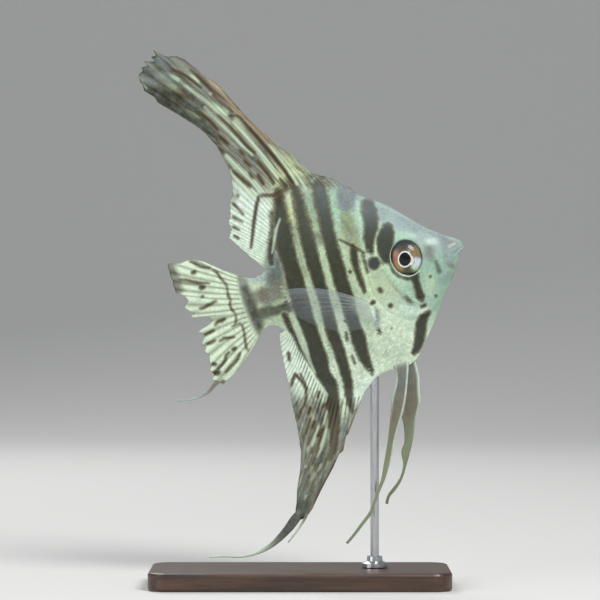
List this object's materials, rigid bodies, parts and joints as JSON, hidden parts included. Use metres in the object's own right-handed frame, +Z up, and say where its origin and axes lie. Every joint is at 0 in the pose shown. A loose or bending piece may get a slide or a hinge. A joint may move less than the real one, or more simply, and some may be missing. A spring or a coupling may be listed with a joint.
{
  "type": "freshwater angelfish model",
  "caption": "Life-size still model of a striped freshwater angelfish, nose raised, fins spread, on a flat base with one rod.",
  "frame": {"origin": "centre of the underside of the stand's base", "axes": "+Z up, +X the way the snout points, -Y the fish's right side"},
  "size_m": [0.0978, 0.04, 0.1608],
  "materials": {
    "skin": "wet, scaled skin, creamy mint with olive-grey bars",
    "eye": "glossy, dark pupil in a pale ring and a red-brown iris",
    "fin": "satin membrane on fine rays, whitish with brown dashes",
    "clear_fin": "clear membrane on pale rays",
    "stained_wood": "dark stained, satin",
    "steel": "brushed"
  },
  "bodies": {
    "root": {"head": "skin", "lower_jaw": "skin", "gill_cover_right": "skin", "gill_cover_left": "skin", "trunk": "skin", "tail_stalk": "skin", "eye_right": "eye", "eye_left": "eye", "dorsal_fin": "fin", "anal_fin": "fin", "caudal_fin": "fin", "pectoral_fin_right": "clear_fin", "pectoral_fin_left": "clear_fin", "pelvic_fin_right": "fin", "pelvic_fin_left": "fin", "stand_base": "stained_wood", "stand_ferrule": "steel", "stand_rod": "steel"}
  },
  "joints": []
}
